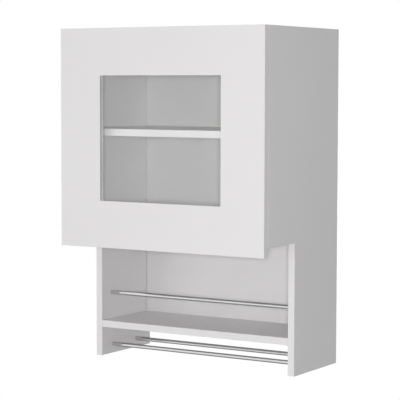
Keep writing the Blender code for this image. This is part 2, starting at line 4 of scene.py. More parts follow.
import bmesh
import bpy
import numpy as np
from mathutils import Matrix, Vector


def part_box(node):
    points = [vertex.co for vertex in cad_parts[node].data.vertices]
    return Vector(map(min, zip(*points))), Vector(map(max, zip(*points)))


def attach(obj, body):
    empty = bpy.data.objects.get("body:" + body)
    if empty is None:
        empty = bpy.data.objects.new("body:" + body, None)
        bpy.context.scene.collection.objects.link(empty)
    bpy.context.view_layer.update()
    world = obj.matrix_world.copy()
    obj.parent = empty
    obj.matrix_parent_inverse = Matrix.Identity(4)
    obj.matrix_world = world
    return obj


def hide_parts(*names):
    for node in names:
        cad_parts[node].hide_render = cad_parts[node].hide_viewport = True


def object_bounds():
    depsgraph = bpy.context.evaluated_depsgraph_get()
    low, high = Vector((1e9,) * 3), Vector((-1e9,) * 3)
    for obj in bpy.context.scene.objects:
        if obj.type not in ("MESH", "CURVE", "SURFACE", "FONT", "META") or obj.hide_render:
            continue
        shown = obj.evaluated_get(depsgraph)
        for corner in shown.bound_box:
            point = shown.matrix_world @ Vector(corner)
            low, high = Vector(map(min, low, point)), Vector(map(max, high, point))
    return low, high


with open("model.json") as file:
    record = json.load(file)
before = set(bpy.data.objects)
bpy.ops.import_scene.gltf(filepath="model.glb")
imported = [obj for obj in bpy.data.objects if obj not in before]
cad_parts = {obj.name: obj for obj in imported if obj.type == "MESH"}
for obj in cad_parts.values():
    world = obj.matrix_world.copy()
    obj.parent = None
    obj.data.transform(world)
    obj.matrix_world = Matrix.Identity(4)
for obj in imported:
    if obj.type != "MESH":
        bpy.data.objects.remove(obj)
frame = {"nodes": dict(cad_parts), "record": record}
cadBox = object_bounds()
mm = 0.001
print("frame loaded with", len(frame["nodes"]), "nodes")

# White wall cabinet: a glazed door above an open niche, with one rod across the niche and two under it.
# X runs to the right, Y towards the wall and Z upwards, all in metres.


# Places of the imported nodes

def span(node, axis):
    # the lowest and the highest coordinate along one axis
    low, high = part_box(node)
    return low["xyz".index(axis)], high["xyz".index(axis)]


def middleOf(node, axes):
    # halfway between lowest and highest, on each of the named axes
    return [0.5 * sum(span(node, axis)) for axis in axes]


def radiusOf(node, axis):
    # half the node's size along one axis
    low, high = span(node, axis)
    return 0.5 * (high - low)


# Surfaces. A surface is a dictionary of points, faces by their number of corners, and wear per point.

meshRules = {
    "merge": 0.001 * mm,     # points this close are one point
    "sharpDegrees": 40.0,    # edges that turn further than this stay sharp
    "cutPast": 5.0 * mm,     # how far a cutter goes on beyond the board that it cuts
}


def fullTurn(sides):
    # the angle of each side's corner round a circle
    return 2 * np.pi * np.arange(sides) / sides


def quarterTurn(steps):
    # angles from nothing to a right angle, for a quarter round
    return np.linspace(0, np.pi / 2, steps + 1)


def placed(first, second, out, order):
    # sets three arrays of coordinates on the axes that the order names, such as "yzx"
    arrays = dict(zip(order, np.broadcast_arrays(first, second, out)))
    return np.stack([arrays["x"], arrays["y"], arrays["z"]], axis=-1)


def shell(rings, closed=False, wear=None):
    # rings of points, each a loop, joined by quads: the end rings are filled,
    # or the last ring joins the first where the rings close into a tube
    rows, around = rings.shape[:2]
    row = np.arange(rows if closed else rows - 1)[:, None]
    column = np.arange(around)[None, :]
    nextRow = (row + 1) % rows
    nextColumn = (column + 1) % around
    corners = [row * around + column, row * around + nextColumn,
               nextRow * around + nextColumn, nextRow * around + column]
    faces = [np.stack(np.broadcast_arrays(*corners), axis=-1).reshape(-1, 4)]
    if not closed:
        faces.append(np.stack([np.arange(around), np.arange(around) + (rows - 1) * around]))
    wearRows = np.zeros(rows) if wear is None else np.asarray(wear, float)
    return {"points": rings.reshape(-1, 3), "faces": faces, "wear": np.repeat(wearRows, around)}


def meshFrom(name, surfaces):
    # joins the surfaces into one mesh, merges poles and seams, and turns every face outwards
    offsets = np.cumsum([0] + [len(s["points"]) for s in surfaces])
    parts = [f + offset for s, offset in zip(surfaces, offsets) for f in s["faces"]]
    corners = np.concatenate([part.ravel() for part in parts])
    sizes = np.concatenate([np.full(len(part), part.shape[1]) for part in parts])
    points = np.concatenate([s["points"] for s in surfaces])
    mesh = bpy.data.meshes.new(name)
    mesh.vertices.add(len(points))
    mesh.vertices.foreach_set("co", points.astype(np.float32).ravel())
    mesh.loops.add(len(corners))
    mesh.loops.foreach_set("vertex_index", corners.astype(np.int32))
    mesh.polygons.add(len(sizes))
    mesh.polygons.foreach_set("loop_start", (np.cumsum(sizes) - sizes).astype(np.int32))
    mesh.update(calc_edges=True)
    wear = mesh.attributes.new("wear", "FLOAT", "POINT")
    wear.data.foreach_set("value", np.concatenate([s["wear"] for s in surfaces]).astype(np.float32))
    bm = bmesh.new()
    bm.from_mesh(mesh)
    bmesh.ops.remove_doubles(bm, verts=bm.verts, dist=meshRules["merge"])
    bmesh.ops.recalc_face_normals(bm, faces=bm.faces)
    bm.to_mesh(mesh)
    bm.free()
    return mesh


def cutMesh(mesh, cutters):
    # takes the cutters' solids out of the mesh, and returns the result as a plain mesh
    target = bpy.data.objects.new("cutTarget", mesh)
    tool = bpy.data.objects.new("cutTool", meshFrom("cutTool", cutters))
    for helper in (target, tool):
        bpy.context.scene.collection.objects.link(helper)
    modifier = target.modifiers.new("cut", "BOOLEAN")
    modifier.operation = "DIFFERENCE"
    modifier.solver = "EXACT"
    modifier.object = tool
    evaluated = target.evaluated_get(bpy.context.evaluated_depsgraph_get())
    result = bpy.data.meshes.new_from_object(evaluated)
    for helper in (target, tool):
        bpy.data.objects.remove(helper)
    return result


def makePiece(name, mesh, degrees, material, body, nodes):
    # shades the mesh smooth up to its sharp edges, and lets it ride on its body in place of the nodes
    mesh.name = name
    mesh.shade_smooth()
    mesh.set_sharp_from_angle(angle=math.radians(degrees))
    mesh.materials.clear()
    mesh.materials.append(material)
    piece = bpy.data.objects.new(name, mesh)
    bpy.context.scene.collection.objects.link(piece)
    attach(piece, body)
    if nodes:
        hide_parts(*nodes)
    return piece


def addPiece(name, surfaces, material, body, nodes=(), cutters=()):
    # the surfaces as one mesh, less the cutters
    mesh = meshFrom(name, surfaces)
    if cutters:
        mesh = cutMesh(mesh, cutters)
    piece = makePiece(name, mesh, meshRules["sharpDegrees"], material, body, nodes)
    # large faces keep their own normal, so that only the narrow rounds bend the light
    piece.modifiers.new("flatFaces", "WEIGHTED_NORMAL").keep_sharp = True


stampedRules = {"merge": 0.005 * mm, "flatDegrees": 1.0, "sharpDegrees": 35.0, "roundSegments": 2}


def addStamped(name, node, material, body, width):
    # a stamped part: the node's own solid, merged, its flat faces made whole and its edges rounded
    mesh = frame["nodes"][node].data.copy()
    bm = bmesh.new()
    bm.from_mesh(mesh)
    bmesh.ops.remove_doubles(bm, verts=bm.verts, dist=stampedRules["merge"])
    flat = math.radians(stampedRules["flatDegrees"])
    bmesh.ops.dissolve_limit(bm, angle_limit=flat, verts=bm.verts, edges=bm.edges)
    bmesh.ops.recalc_face_normals(bm, faces=bm.faces)
    bm.to_mesh(mesh)
    bm.free()
    piece = makePiece(name, mesh, stampedRules["sharpDegrees"], material, body, [node])
    bevel = piece.modifiers.new("edges", "BEVEL")
    bevel.width = width
    bevel.segments = stampedRules["roundSegments"]
    bevel.limit_method = "ANGLE"
    bevel.angle_limit = math.radians(stampedRules["sharpDegrees"])
    bevel.harden_normals = True


def rectangle(low, high):
    # four corners, anticlockwise
    return np.array([[low[0], low[1]], [high[0], low[1]], [high[0], high[1]], [low[0], high[1]]])


def roundedLoop(outline, inset, radius, steps=3, leastRadius=0.05 * mm):
    # every side of an anticlockwise outline moves inwards by the inset, and every corner becomes an arc:
    # its middle lies on the corner's bisector, and its points swing from one side's normal to the next's
    ahead = np.roll(outline, -1, axis=0) - outline
    ahead = ahead / np.linalg.norm(ahead, axis=1, keepdims=True)
    leaving = np.stack([-ahead[:, 1], ahead[:, 0]], axis=1)
    arriving = np.roll(leaving, 1, axis=0)
    crossing = arriving[:, 0] * leaving[:, 1] - arriving[:, 1] * leaving[:, 0]
    along = np.sum(arriving * leaving, axis=1)
    bend = np.arctan2(crossing, along)
    outward = np.where(bend >= 0, 1.0, -1.0)
    size = np.maximum(radius - outward * inset, leastRadius)
    middle = outline + (arriving + leaving) / (1 + along)[:, None] * (inset + outward * size)[:, None]
    swing = bend[:, None] * np.linspace(0, 1, steps + 1)
    across = np.stack([-arriving[:, 1], arriving[:, 0]], axis=1)
    pointing = arriving[:, None] * np.cos(swing)[..., None] + across[:, None] * np.sin(swing)[..., None]
    return (middle[:, None] - (outward * size)[:, None, None] * pointing).reshape(-1, 2)


def edgeProfile(thickness, trim):
    # across a board's edge, from one face to the other: (drawn in, depth from the first face, wear).
    # A half is the face, the fine seam of the edge band and a quarter round, then the same mirrored
    turn = quarterTurn(trim["roundSteps"])
    band, seam = trim["bandThickness"], trim["seamWidth"]
    drawn = np.concatenate([[trim["faceStrip"], band + seam, band, band - seam],
                            trim["roundRadius"] * (1 - np.sin(turn))])
    depth = np.concatenate([[0, 0, trim["seamDepth"], 0], trim["roundRadius"] * (1 - np.cos(turn))])
    wear = np.concatenate([[0, 0, trim["seamDirt"], 0], np.sin(2 * turn)])
    return (np.concatenate([drawn, drawn[::-1]]), np.concatenate([depth, thickness - depth[::-1]]),
            np.concatenate([wear, wear[::-1]]))


def boardSurface(outline, low, high, order, trim):
    # the outline, drawn in by the edge profile, carried across the board's thickness
    drawn, depth, wear = edgeProfile(high - low, trim)
    loops = np.stack([roundedLoop(outline, inset, trim["cornerRadius"]) for inset in drawn])
    return shell(placed(loops[..., 0], loops[..., 1], (low + depth)[:, None], order), wear=wear)


def turned(radii, outs, middle, order, sides):
    # a profile of radii and distances along the axis, turned through a full circle
    angle = fullTurn(sides)
    radii = np.asarray(radii, float)[:, None]
    outs = np.asarray(outs, float)[:, None]
    return shell(placed(middle[0] + radii * np.cos(angle), middle[1] + radii * np.sin(angle), outs, order))


def drill(radius, reach, middle, order, sides):
    # a plain cylinder between two distances along its axis, to cut with
    return turned([radius, radius], reach, middle, order, sides)


def crossHead(middle, base, facing, order, head):
    # a low dome on a polar grid: height = rise times (1 - radius squared), less the cross-shaped
    # recess wherever a point lies within half a slot's width of one axis and half its length of the other
    radius = np.linspace(0, 1, head["rings"]) * head["radius"]
    angle = fullTurn(head["sides"])
    across = radius[:, None] * np.cos(angle)
    along = radius[:, None] * np.sin(angle)

    def within(value, limit):
        return np.clip((limit - np.abs(value)) / head["soften"] + 0.5, 0, 1)

    slot = np.maximum(within(across, head["slotWidth"] / 2) * within(along, head["slotLength"] / 2),
                      within(along, head["slotWidth"] / 2) * within(across, head["slotLength"] / 2))
    dome = head["edge"] + head["rise"] * (1 - (radius[:, None] / head["radius"]) ** 2)
    height = dome - head["slotDepth"] * slot
    first = np.concatenate([across, across[-1:]])
    second = np.concatenate([along, along[-1:]])
    out = np.concatenate([height, np.zeros((1, head["sides"]))])
    return shell(placed(middle[0] + first, middle[1] + second, base + facing * out, order))


# Finishes. In the looks a grain is its scale, its detail and, where it is given, its roughness;
# a relief is its strength and its depth; matt and gloss are the least and the most roughness.

def addNode(tree, kind, values=None, **settings):
    # a new node: a value is linked where it is another node's socket, and set where it is a number or colour
    node = tree.nodes.new(kind)
    for key, value in settings.items():
        setattr(node, key, value)
    for key, value in (values or {}).items():
        if isinstance(value, bpy.types.NodeSocket):
            tree.links.new(value, node.inputs[key])
        else:
            node.inputs[key].default_value = value
    return node


def newFinish(name, constants):
    # a material whose shader has the values that are the same all over the surface
    material = bpy.data.materials.new(name)
    material.use_nodes = True
    tree = material.node_tree
    shader = tree.nodes["Principled BSDF"]
    for key, value in constants.items():
        shader.inputs[key].default_value = value
    return material, tree, shader


def objectPlace(tree, stretch=(1, 1, 1)):
    # object coordinates; a stretch under 1 draws a pattern out along that axis
    place = addNode(tree, "ShaderNodeTexCoord").outputs["Object"]
    return addNode(tree, "ShaderNodeMapping", {"Vector": place, "Scale": stretch}).outputs["Vector"]


def grain(tree, place, scale, detail, roughness=0.5):
    # one value of noise per place, mostly between 0.3 and 0.7
    values = {"Vector": place, "Scale": scale, "Detail": detail, "Roughness": roughness}
    return addNode(tree, "ShaderNodeTexNoise", values).outputs["Fac"]


def spread(tree, value, low, high, fromLow=0.3, fromHigh=0.7):
    # carries a value from one range to another; the first is a grain's usual range unless it is given
    values = {"Value": value, "From Min": fromLow, "From Max": fromHigh, "To Min": low, "To Max": high}
    return addNode(tree, "ShaderNodeMapRange", values).outputs["Result"]


def reckon(tree, operation, first, second):
    # two values multiplied, compared or otherwise reckoned into one
    return addNode(tree, "ShaderNodeMath", {0: first, 1: second}, operation=operation).outputs[0]


def mixColour(tree, factor, first, second):
    # a Mix node's sockets for colours are 6 and 7, and the mixed colour is 2
    return addNode(tree, "ShaderNodeMix", {0: factor, 6: first, 7: second}, data_type="RGBA").outputs[2]


def mixShader(tree, factor, first, second):
    # the first shader where the factor is 0, the second where it is 1
    return addNode(tree, "ShaderNodeMixShader", {0: factor, 1: first, 2: second}).outputs[0]


def dress(tree, shader, colour, roughness, height, relief):
    # links a finish's colour, roughness and relief to its shader
    values = {"Height": height, "Strength": relief[0], "Distance": relief[1]}
    bump = addNode(tree, "ShaderNodeBump", values).outputs["Normal"]
    for key, value in (("Base Color", colour), ("Roughness", roughness), ("Normal", bump)):
        tree.links.new(value, shader.inputs[key])


melamineLook = {
    "pale": (0.810, 0.796, 0.801, 1), "shade": (0.790, 0.776, 0.781, 1), "worn": (0.52, 0.51, 0.49, 1),
    "cloud": (5.0, 3.0), "speck": (380.0, 2.0), "pebble": (1100.0, 1.0), "scuff": (60.0, 4.0),
    "speckShare": (0.5, 1.0), "wearShare": 0.28, "matt": (0.40, 0.50), "relief": (0.10, 0.1 * mm),
    "specular": 0.4,
}


def melamineFinish(look):
    # coated chipboard: faint clouds and specks, a fine pebbled face, edges that are a little worn
    material, tree, shader = newFinish("whiteMelamine", {"Specular IOR Level": look["specular"]})
    place = objectPlace(tree)
    grains = ("cloud", "speck", "pebble", "scuff")
    cloud, speck, pebble, scuff = (grain(tree, place, *look[key]) for key in grains)
    tone = reckon(tree, "MULTIPLY", spread(tree, cloud, 0.0, 1.0), spread(tree, speck, *look["speckShare"]))
    body = mixColour(tree, tone, look["pale"], look["shade"])
    wear = addNode(tree, "ShaderNodeAttribute", attribute_name="wear").outputs["Fac"]
    rubbed = reckon(tree, "MULTIPLY", wear, spread(tree, scuff, 0.0, look["wearShare"]))
    colour = mixColour(tree, rubbed, body, look["worn"])
    dress(tree, shader, colour, spread(tree, speck, *look["matt"]), pebble, look["relief"])
    return material


hardboardLook = {
    "lacquer": (0.774, 0.766, 0.768, 1), "lacquerShade": (0.750, 0.742, 0.744, 1), "cloud": (7.0, 3.0),
    "fibre": (0.34, 0.225, 0.13, 1), "fibreDark": (0.22, 0.135, 0.075, 1),
    "fibres": (700.0, 3.0, 0.65), "fibreStretch": (1.0, 1.0, 0.25),
    # the painted shade in the back corners: its colour, how far it reaches in from the side boards, and its
    # greatest share
    "paintedShadeColour": (0.50, 0.49, 0.48, 1), "paintedShadeWidth": 6.0 * mm, "paintedShadeShare": 0.45,
    "matt": (0.48, 0.66), "relief": (0.12, 0.1 * mm), "specular": 0.3,
}


def hardboardFinish(look):
    # thin fibreboard: white lacquer on the side of the room, bare brown fibres towards the wall,
    # and painted shade: the lacquer darkens in a soft band where the panel runs into the side boards
    material, tree, shader = newFinish("backHardboard", {"Specular IOR Level": look["specular"]})
    place = objectPlace(tree)
    cloud = grain(tree, place, *look["cloud"])
    fibres = grain(tree, objectPlace(tree, look["fibreStretch"]), *look["fibres"])
    lacquer = mixColour(tree, spread(tree, cloud, 0.0, 1.0), look["lacquer"], look["lacquerShade"])
    bare = mixColour(tree, spread(tree, fibres, 0.0, 1.0), look["fibre"], look["fibreDark"])
    axes = addNode(tree, "ShaderNodeSeparateXYZ", {"Vector": place}).outputs
    across = addNode(tree, "ShaderNodeMath", {0: axes["X"]}, operation="ABSOLUTE").outputs[0]
    # painted shade: the lacquer darkens over the last few millimetres before each side board's inner face,
    # standing in for the shade in those corners
    board = span("right_side_panel", "x")[0]
    paintedCornerShade = spread(tree, across, 0.0, look["paintedShadeShare"], board - look["paintedShadeWidth"], board)
    lacquer = mixColour(tree, paintedCornerShade, lacquer, look["paintedShadeColour"])
    rear = reckon(tree, "GREATER_THAN", axes["Y"], middleOf("back_panel", "y")[0])
    colour = mixColour(tree, rear, lacquer, bare)
    dress(tree, shader, colour, spread(tree, fibres, *look["matt"]), fibres, look["relief"])
    return material


metalLooks = {
    "chromePlate": {
        "pale": (0.74, 0.74, 0.74, 1), "dark": (0.68, 0.68, 0.68, 1), "edge": (0.08, 0.08, 0.09, 1),
        "cloud": (40.0, 2.0), "strokes": (900.0, 3.0, 0.6), "stretch": (0.03, 1.0, 1.0),
        "gloss": (0.03, 0.07), "relief": (0.02, 0.05 * mm),
    },
    "nickelPlate": {
        "pale": (0.72, 0.705, 0.68, 1), "dark": (0.63, 0.62, 0.60, 1), "edge": (0.80, 0.79, 0.77, 1),
        "cloud": (40.0, 2.0), "strokes": (700.0, 3.0, 0.6), "stretch": (1.0, 0.15, 1.0),
        "gloss": (0.17, 0.25), "relief": (0.02, 0.05 * mm),
    },
    "castZinc": {
        "pale": (0.60, 0.60, 0.61, 1), "dark": (0.44, 0.44, 0.45, 1), "edge": (0.80, 0.80, 0.80, 1),
        "cloud": (40.0, 2.0), "strokes": (500.0, 3.0, 0.6), "stretch": (1.0, 1.0, 1.0),
        "gloss": (0.34, 0.52), "relief": (0.08, 0.05 * mm),
    },
}


def metalFinish(name):
    # plated or cast metal: a cloudy tone, with gloss and relief from one grain, drawn out along the polish
    look = metalLooks[name]
    material, tree, shader = newFinish(name, {"Metallic": 1.0, "Specular Tint": look["edge"]})
    strokes = grain(tree, objectPlace(tree, look["stretch"]), *look["strokes"])
    cloud = grain(tree, objectPlace(tree), *look["cloud"])
    colour = mixColour(tree, spread(tree, cloud, 0.0, 1.0), look["pale"], look["dark"])
    dress(tree, shader, colour, spread(tree, strokes, *look["gloss"]), strokes, look["relief"])
    return material


glassLook = {
    "tint": (0.994, 0.996, 0.994, 1), "through": (0.980, 0.982, 0.980, 1),
    "clear": 0.94,         # the rest is a thin film of dust
    "refraction": 1.25,    # lower than plain glass, because this pane mirrors little
    "smear": (14.0, 4.0), "smearMatt": (0.0, 0.012),
}


def glassFinish(look):
    # float glass with a thin film and faint smears; lamp light and soft light pass straight through it
    constants = {"Base Color": look["tint"], "Transmission Weight": look["clear"], "IOR": look["refraction"]}
    material, tree, shader = newFinish("clearGlass", constants)
    smear = grain(tree, objectPlace(tree), *look["smear"])
    tree.links.new(spread(tree, smear, *look["smearMatt"]), shader.inputs["Roughness"])
    path = addNode(tree, "ShaderNodeLightPath").outputs
    soft = reckon(tree, "MAXIMUM", path["Is Shadow Ray"], path["Is Diffuse Ray"])
    passing = addNode(tree, "ShaderNodeBsdfTransparent", {"Color": look["through"]}).outputs[0]
    surface = mixShader(tree, soft, shader.outputs[0], passing)
    tree.links.new(surface, tree.nodes["Material Output"].inputs["Surface"])
    return material


padLook = {
    "pale": (0.80, 0.80, 0.77, 1), "dark": (0.70, 0.70, 0.66, 1), "cloud": (350.0, 2.0), "matt": (0.35, 0.5),
    "relief": (0.05, 0.1 * mm), "softness": 0.3, "softDepth": 1.0 * mm,
}


def padFinish(look):
    # soft clear plastic pads with a slightly cloudy body
    constants = {"Subsurface Weight": look["softness"], "Subsurface Scale": look["softDepth"]}
    material, tree, shader = newFinish("softPad", constants)
    cloud = grain(tree, objectPlace(tree), *look["cloud"])
    colour = mixColour(tree, spread(tree, cloud, 0.0, 1.0), look["pale"], look["dark"])
    dress(tree, shader, colour, spread(tree, cloud, *look["matt"]), cloud, look["relief"])
    return material


melamine = melamineFinish(melamineLook)
hardboard = hardboardFinish(hardboardLook)
chrome = metalFinish("chromePlate")
nickel = metalFinish("nickelPlate")
zinc = metalFinish("castZinc")
glass = glassFinish(glassLook)
softPad = padFinish(padLook)
slotFinishes = {"laminate": melamine, "hardboard": hardboard, "pane": glass, "rods": chrome,
                "hinge_steel": nickel, "fittings": zinc, "bumper": softPad}
for subpart in frame["record"]["subparts"]:
    slots = frame["nodes"][subpart["node"]].data.materials
    slots.clear()
    slots.append(slotFinishes[subpart["material_slot"]])
print("finishes ready")


# Boards of the carcass

boardTrim = {
    "roundRadius": 0.45 * mm, "roundSteps": 4, "cornerRadius": 0.45 * mm, "faceStrip": 4.0 * mm,
    "bandThickness": 1.3 * mm, "seamWidth": 0.08 * mm, "seamDepth": 0.06 * mm, "seamDirt": 0.8,
}
grooveShape = {"front": 0.9 * mm, "play": 0.3 * mm}
camPocket = {"radius": 7.8 * mm, "depth": 1.2 * mm, "sides": 48}
camFacing = {"top_panel": 1, "cabinet_floor": -1, "lower_shelf": -1}    # up or down
railHoles = {"radius": 3.0 * mm, "spacing": 400.0 * mm, "sides": 32}
flatBoards = {"topBoard": "top_panel", "floorBoard": "cabinet_floor", "lowerShelfBoard": "lower_shelf",
              "innerShelfBoard": "inner_shelf"}


def sideOutline():
    # the side board in side view: deep above the step, shallow below it
    yFront, yBack = span("left_side_panel", "y")
    zLow, zHigh = span("left_side_panel", "z")
    yLower = span("lower_shelf", "y")[0]
    zStep = span("cabinet_floor", "z")[0]
    return np.array([[yLower, zLow], [yBack, zLow], [yBack, zHigh], [yFront, zHigh],
                     [yFront, zStep], [yLower, zStep]])


def backGroove(side):
    # a box that holds the back panel's edge, with its play in front of the panel
    (low, high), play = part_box("back_panel"), grooveShape["play"]
    inner = span("inner_shelf", "x")
    reach = (low[0] - play, inner[0] + play) if side == "left" else (inner[1] - play, high[0] + play)
    outline = rectangle((low[1] - grooveShape["front"], low[2] - play), (high[1] + play, high[2] + play))
    return shell(placed(outline[None, :, 0], outline[None, :, 1], np.array(reach)[:, None], "yzx"))


def camsOf(board):
    # the cam locks that are set into one board
    return [node for node in sorted(frame["nodes"]) if node.startswith("cam_lock_" + board)]


def camSide(board):
    # height of the board's face that the cams are set into
    low, high = span(board, "z")
    return high if camFacing[board] > 0 else low


def camMiddle(cam):
    # the notch shortens the cam towards the board's end, so its centre is one radius from the full side
    low, high = span(cam, "x")
    radius = radiusOf(cam, "y")
    return (high - radius if cam.endswith("left") else low + radius, *middleOf(cam, "y"))


def camPockets(board):
    # a shallow round recess over each cam
    depth = camPocket["depth"]
    return [drill(camPocket["radius"], (camSide(board) - depth, camSide(board) + depth), camMiddle(cam),
                  "xyz", camPocket["sides"]) for cam in camsOf(board)]


def railCutters():
    # two screw holes, halfway up the rail
    front, back = span("hanging_rail", "y")
    reach = (front - meshRules["cutPast"], back + meshRules["cutPast"])
    places = [(direction * railHoles["spacing"] / 2, *middleOf("hanging_rail", "z")) for direction in (-1, 1)]
    return [drill(railHoles["radius"], reach, place, "xzy", railHoles["sides"]) for place in places]


for side in ("left", "right"):
    node = side + "_side_panel"
    surface = boardSurface(sideOutline(), *span(node, "x"), "yzx", boardTrim)
    addPiece(side + "SideBoard", [surface], melamine, "carcass", [node], [backGroove(side)])

for pieceName, node in flatBoards.items():
    low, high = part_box(node)
    surface = boardSurface(rectangle(low[:2], high[:2]), low[2], high[2], "xyz", boardTrim)
    addPiece(pieceName, [surface], melamine, "carcass", [node], camPockets(node))

low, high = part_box("hanging_rail")
surface = boardSurface(rectangle((low[0], low[2]), (high[0], high[2])), low[1], high[1], "xzy", boardTrim)
addPiece("hangingRailBoard", [surface], melamine, "carcass", ["hanging_rail"], railCutters())
print("carcass boards made")


# Cam faces, set just under the board's face in their pockets

camFace = {
    "radius": 7.4 * mm, "rings": 26, "sides": 96, "edge": 0.85 * mm, "rise": 0.10 * mm, "soften": 0.35 * mm,
    "slotWidth": 1.5 * mm, "slotLength": 8.0 * mm, "slotDepth": 0.8 * mm,
}
camPieces = {"topCamFaces": "top_panel", "floorCamFaces": "cabinet_floor",
             "lowerShelfCamFaces": "lower_shelf"}
for pieceName, board in camPieces.items():
    facing = camFacing[board]
    base = camSide(board) - facing * camPocket["depth"]
    surfaces = [crossHead(camMiddle(cam), base, facing, "xyz", camFace) for cam in camsOf(board)]
    addPiece(pieceName, surfaces, zinc, "carcass", camsOf(board))
print("cam faces made")


# Rods, pegs and pads

rodShape = {"sides": 64, "endRound": 0.5 * mm, "endSteps": 4}


def rodSurface(node):
    # a cylinder with a quarter round at each end: along the turn the radius lacks the round times (1 - sine),
    # and the way in is the round times (1 - cosine)
    low, high = span(node, "x")
    turn = quarterTurn(rodShape["endSteps"])
    radii = radiusOf(node, "z") - rodShape["endRound"] * (1 - np.sin(turn))
    outs = rodShape["endRound"] * (1 - np.cos(turn))
    return turned(np.concatenate([radii, radii[::-1]]), np.concatenate([low + outs, high - outs[::-1]]),
                  middleOf(node, "yz"), "yzx", rodShape["sides"])


rods = {"guardRodTube": "guard_rod", "frontRodTube": "front_hanging_rod", "rearRodTube": "rear_hanging_rod"}
for pieceName, node in rods.items():
    addPiece(pieceName, [rodSurface(node)], chrome, "carcass", [node])

pegShape = {
    "sides": 32, "nose": 1.4 * mm, "noseSteps": 6,
    "grooveAt": 2.2 * mm, "grooveWidth": 0.8 * mm, "grooveFloor": 0.48 * mm, "grooveDepth": 0.35 * mm,
}


def pegSurface(node, inward):
    # a cylinder with one turned groove just clear of the panel, and a nose that is a quarter round
    low, high = span(node, "x")
    radius = radiusOf(node, "z")
    tail, tip = (low, high) if inward > 0 else (high, low)
    panel = span("left_side_panel", "x")[1] if inward > 0 else span("right_side_panel", "x")[0]
    turn = quarterTurn(pegShape["noseSteps"])
    width, floor = pegShape["grooveWidth"] / 2, pegShape["grooveFloor"] / 2
    groove = panel + inward * (pegShape["grooveAt"] + np.array([-width, -floor, floor, width]))
    radii = np.concatenate([[radius], radius - pegShape["grooveDepth"] * np.array([0, 1, 1, 0]),
                            radius - pegShape["nose"] * (1 - np.cos(turn)), [0]])
    outs = np.concatenate([[tail], groove, tip - inward * pegShape["nose"] * (1 - np.sin(turn)), [tip]])
    return turned(radii, outs, middleOf(node, "yz"), "yzx", pegShape["sides"])


for place in ("front", "rear"):
    for side, inward in (("left", 1), ("right", -1)):
        node = "shelf_pin_" + place + "_" + side
        pieceName = "shelfPeg" + place.title() + side.title()
        addPiece(pieceName, [pegSurface(node, inward)], nickel, "carcass", [node])

padShape = {"sides": 40, "steps": 10}


def padSurface(node):
    # half an ellipsoid: the radius falls with the cosine of a quarter turn, the way out grows with its sine
    front, back = span(node, "y")
    turn = quarterTurn(padShape["steps"])
    return turned(radiusOf(node, "x") * np.cos(turn), back + (front - back) * np.sin(turn),
                  middleOf(node, "xz"), "xzy", padShape["sides"])


for place in ("lower", "upper"):
    node = "door_bumper_" + place
    addPiece("doorPad" + place.title(), [padSurface(node)], softPad, "carcass", [node])
print("rods, pegs and pads made")


# Door: a board with a window, a rebate behind it for the glass, and a bead that holds the glass

doorShape = {"rebateArris": 0.3 * mm, "arrisWear": 0.5, "cupRadius": 17.5 * mm, "cupDepth": 12.0 * mm,
             "cupSides": 64}
beadShape = {"round": 1.0 * mm, "steps": 5, "wear": 0.6}
hinges = ("lower", "upper")
beadNodes = ["glass_bead_" + place for place in ("left", "right", "bottom", "top")]
windowLow = np.array([span("glass_bead_left", "x")[1], span("glass_bead_bottom", "z")[1]])
windowHigh = np.array([span("glass_bead_right", "x")[0], span("glass_bead_top", "z")[0]])


def windowLoop(away):
    # the window's outline with sharp corners, moved outwards from the opening
    return roundedLoop(rectangle(windowLow - away, windowHigh + away), 0.0, 0.0)


def doorSurface():
    # a closed profile: the outer edge, then across the back to the rebate, the lip and the window's arris
    (low, high), (front, back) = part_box("door_frame"), span("door_frame", "y")
    outline = rectangle((low[0], low[2]), (high[0], high[2]))
    drawn, depth, wear = edgeProfile(back - front, boardTrim)
    outer = [roundedLoop(outline, inset, boardTrim["cornerRadius"]) for inset in drawn]
    turn = quarterTurn(boardTrim["roundSteps"])
    rounding, arris = boardTrim["roundRadius"], doorShape["rebateArris"]
    seat = span("glass_pane", "y")[0] - (back - span("glass_bead_left", "y")[1])
    rebate = windowLow[0] - span("glass_pane", "x")[0]
    away = np.concatenate([[rebate + arris, rebate, rebate, 0], rounding * (1 - np.cos(turn))])
    outs = np.concatenate([front + depth, [back, back - arris, seat, seat],
                           front + rounding * (1 - np.sin(turn))])
    wear = np.concatenate([wear, [0, doorShape["arrisWear"], 0, 0], np.sin(2 * turn)])
    loops = np.stack(outer + [windowLoop(distance) for distance in away])
    return shell(placed(loops[..., 0], loops[..., 1], outs[:, None], "xzy"), closed=True, wear=wear)


def beadSurface():
    # a strip with one rounded corner, carried round the window behind the glass
    front, back = span("glass_bead_left", "y")
    width = windowLow[0] - span("glass_bead_left", "x")[0]
    turn = quarterTurn(beadShape["steps"])
    rounding = beadShape["round"]
    away = np.concatenate([[width, width], rounding * (1 - np.sin(turn)), [0]])
    outs = np.concatenate([[front, back], back - rounding * (1 - np.cos(turn)), [front]])
    wear = np.concatenate([[0, 0], beadShape["wear"] * np.sin(2 * turn), [0]])
    loops = np.stack([windowLoop(distance) for distance in away])
    return shell(placed(loops[..., 0], loops[..., 1], outs[:, None], "xzy"), closed=True, wear=wear)


def cupBores():
    # a blind hole in the door's back for each hinge cup
    back = span("door_frame", "y")[1]
    reach = (back - doorShape["cupDepth"], back + meshRules["cutPast"])
    return [drill(doorShape["cupRadius"], reach, middleOf(hinge + "_hinge_cup", "xz"), "xzy",
                  doorShape["cupSides"]) for hinge in hinges]


addPiece("doorFrameBoard", [doorSurface()], melamine, "door", ["door_frame"], cupBores())
addPiece("glazingBead", [beadSurface()], melamine, "door", beadNodes)
print("door made")


# Hinges: a cup with a winged flange, and stamped arms, plates and links with their screws

